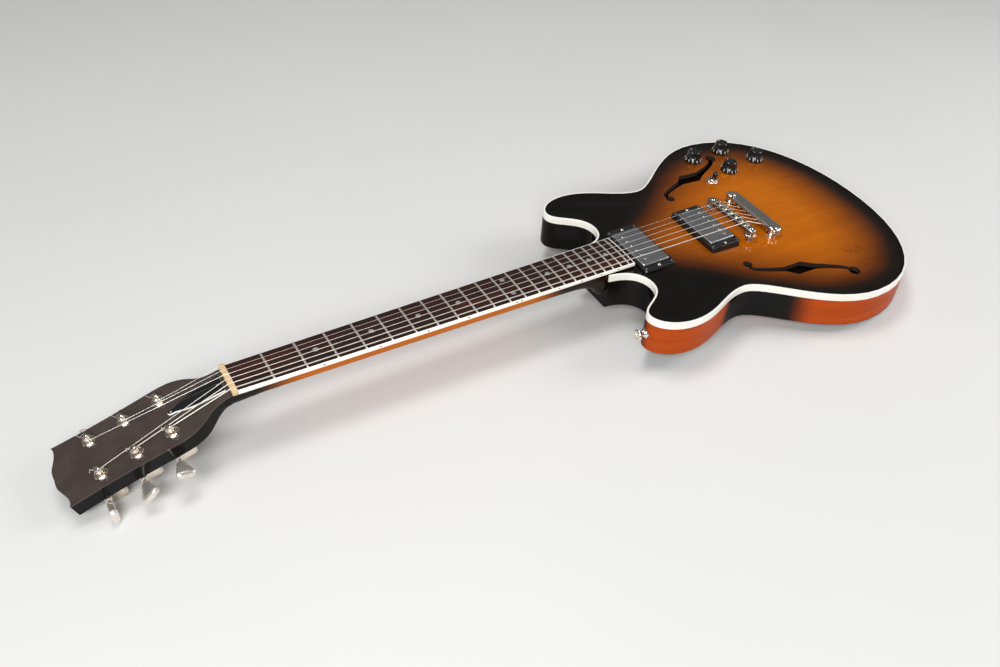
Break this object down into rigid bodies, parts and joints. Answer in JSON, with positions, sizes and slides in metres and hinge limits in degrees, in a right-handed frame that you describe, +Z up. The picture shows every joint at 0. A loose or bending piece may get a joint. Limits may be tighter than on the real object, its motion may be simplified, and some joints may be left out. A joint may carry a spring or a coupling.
{
  "type": "semi-hollow electric guitar",
  "caption": "Semi-hollow electric guitar with a thin double-cutaway sunburst body, sound holes, set neck, angled headstock, covered pickups, stud bridge and stop tailpiece.",
  "frame": {"origin": "centre of the bounding box's underside, on the ground the guitar rests on", "axes": "+X runs from the headstock to the tail, +Y points to the side with the thin strings and the control knobs, +Z is up, out of the top"},
  "size_m": [1.0366, 0.3866, 0.0793],
  "materials": {
    "sunburst_maple": "gloss lacquered",
    "mahogany_sides": "gloss lacquered",
    "neck_wood": "gloss lacquered",
    "dark_fretboard_wood": "satin oiled",
    "cream_binding": "gloss",
    "nut_plastic": "satin",
    "black_gloss": "gloss",
    "black_plastic": "satin",
    "black_knob": "gloss",
    "nickel": "polished nickel plate",
    "inner_steel": "plain",
    "string_steel": "bright"
  },
  "bodies": {
    "instrument": {"body_back": "mahogany_sides", "body_top": "sunburst_maple", "body_binding": "cream_binding", "control_cover": "black_plastic", "neck": "neck_wood", "headstock_veneer": "black_gloss", "fretboard": "dark_fretboard_wood", "fretboard_binding": "cream_binding", "nut": "nut_plastic", "truss_rod": "inner_steel", "truss_rod_cover": "black_gloss", "neck_pickup_ring": "black_plastic", "neck_pickup_cover": "nickel", "neck_pickup_base": "inner_steel", "bridge_pickup_ring": "black_plastic", "bridge_pickup_cover": "nickel", "bridge_pickup_base": "inner_steel", "bridge": "nickel", "bridge_post_1": "nickel", "bridge_post_2": "nickel", "tailpiece": "nickel", "tailpiece_stud_1": "nickel", "tailpiece_stud_2": "nickel", "string_1": "string_steel", "string_2": "string_steel", "string_3": "string_steel", "string_4": "string_steel", "string_5": "string_steel", "string_6": "string_steel", "tuner_housing_1": "nickel", "tuner_housing_2": "nickel", "tuner_housing_3": "nickel", "tuner_housing_4": "nickel", "tuner_housing_5": "nickel", "tuner_housing_6": "nickel", "pot_1": "inner_steel", "pot_2": "inner_steel", "pot_3": "inner_steel", "pot_4": "inner_steel", "toggle_switch": "nickel", "output_jack": "nickel", "strap_button_horn": "nickel", "strap_button_tail": "nickel"},
    "tuner_post_1": {"tuner_post_1": "nickel"},
    "tuner_button_1": {"tuner_button_1": "nickel"},
    "tuner_post_2": {"tuner_post_2": "nickel"},
    "tuner_button_2": {"tuner_button_2": "nickel"},
    "tuner_post_3": {"tuner_post_3": "nickel"},
    "tuner_button_3": {"tuner_button_3": "nickel"},
    "tuner_post_4": {"tuner_post_4": "nickel"},
    "tuner_button_4": {"tuner_button_4": "nickel"},
    "tuner_post_5": {"tuner_post_5": "nickel"},
    "tuner_button_5": {"tuner_button_5": "nickel"},
    "tuner_post_6": {"tuner_post_6": "nickel"},
    "tuner_button_6": {"tuner_button_6": "nickel"},
    "knob_1": {"knob_1": "black_knob"},
    "knob_2": {"knob_2": "black_knob"},
    "knob_3": {"knob_3": "black_knob"},
    "knob_4": {"knob_4": "black_knob"},
    "toggle_lever": {"toggle_lever": "black_knob"}
  },
  "joints": [
    {"name": "tuner_button_1_turn", "type": "hinge", "parent": "instrument", "child": "tuner_button_1", "pos_m": [-0.41551, -0.0256, 0.02929], "axis": [0, 1, 0], "continuous": true},
    {"name": "tuner_post_1_turn", "type": "hinge", "parent": "instrument", "child": "tuner_post_1", "pos_m": [-0.41335, -0.0256, 0.05296], "axis": [-0.293, 0, 0.9561], "continuous": true},
    {"name": "tuner_button_2_turn", "type": "hinge", "parent": "instrument", "child": "tuner_button_2", "pos_m": [-0.44898, -0.0256, 0.01903], "axis": [0, 1, 0], "continuous": true},
    {"name": "tuner_post_2_turn", "type": "hinge", "parent": "instrument", "child": "tuner_post_2", "pos_m": [-0.44682, -0.0256, 0.0427], "axis": [-0.293, 0, 0.9561], "continuous": true},
    {"name": "tuner_button_3_turn", "type": "hinge", "parent": "instrument", "child": "tuner_button_3", "pos_m": [-0.48244, -0.0256, 0.00878], "axis": [0, 1, 0], "continuous": true},
    {"name": "tuner_post_3_turn", "type": "hinge", "parent": "instrument", "child": "tuner_post_3", "pos_m": [-0.48028, -0.0256, 0.03245], "axis": [-0.293, 0, 0.9561], "continuous": true},
    {"name": "tuner_button_4_turn", "type": "hinge", "parent": "instrument", "child": "tuner_button_4", "pos_m": [-0.48244, 0.021, 0.00878], "axis": [0, 1, 0], "continuous": true},
    {"name": "tuner_post_4_turn", "type": "hinge", "parent": "instrument", "child": "tuner_post_4", "pos_m": [-0.48028, 0.021, 0.03245], "axis": [-0.293, 0, 0.9561], "continuous": true},
    {"name": "tuner_button_5_turn", "type": "hinge", "parent": "instrument", "child": "tuner_button_5", "pos_m": [-0.44898, 0.021, 0.01903], "axis": [0, 1, 0], "continuous": true},
    {"name": "tuner_post_5_turn", "type": "hinge", "parent": "instrument", "child": "tuner_post_5", "pos_m": [-0.44682, 0.021, 0.0427], "axis": [-0.293, 0, 0.9561], "continuous": true},
    {"name": "tuner_button_6_turn", "type": "hinge", "parent": "instrument", "child": "tuner_button_6", "pos_m": [-0.41551, 0.021, 0.02929], "axis": [0, 1, 0], "continuous": true},
    {"name": "tuner_post_6_turn", "type": "hinge", "parent": "instrument", "child": "tuner_post_6", "pos_m": [-0.41335, 0.021, 0.05296], "axis": [-0.293, 0, 0.9561], "continuous": true},
    {"name": "knob_1_turn", "type": "hinge", "parent": "instrument", "child": "knob_1", "pos_m": [0.33909, 0.1487, 0.05585], "axis": [0.0534, 0, 0.9986], "range_deg": [0, 300]},
    {"name": "knob_2_turn", "type": "hinge", "parent": "instrument", "child": "knob_2", "pos_m": [0.39401, 0.1547, 0.05291], "axis": [0.0534, 0, 0.9986], "range_deg": [0, 300]},
    {"name": "knob_3_turn", "type": "hinge", "parent": "instrument", "child": "knob_3", "pos_m": [0.37155, 0.1072, 0.05412], "axis": [0.0534, 0, 0.9986], "range_deg": [0, 300]},
    {"name": "knob_4_turn", "type": "hinge", "parent": "instrument", "child": "knob_4", "pos_m": [0.42896, 0.1187, 0.05105], "axis": [0.0534, 0, 0.9986], "range_deg": [0, 300]},
    {"name": "toggle_lever_tilt", "type": "hinge", "parent": "instrument", "child": "toggle_lever", "pos_m": [0.32989, 0.0932, 0.05234], "axis": [0.9986, 0, -0.0534], "range_deg": [-28, 0]}
  ],
  "couplings": [
    {"joint": "tuner_post_1_turn", "follows": "tuner_button_1_turn", "ratio": -0.071429},
    {"joint": "tuner_post_2_turn", "follows": "tuner_button_2_turn", "ratio": -0.071429},
    {"joint": "tuner_post_3_turn", "follows": "tuner_button_3_turn", "ratio": -0.071429},
    {"joint": "tuner_post_4_turn", "follows": "tuner_button_4_turn", "ratio": -0.071429},
    {"joint": "tuner_post_5_turn", "follows": "tuner_button_5_turn", "ratio": -0.071429},
    {"joint": "tuner_post_6_turn", "follows": "tuner_button_6_turn", "ratio": -0.071429}
  ]
}
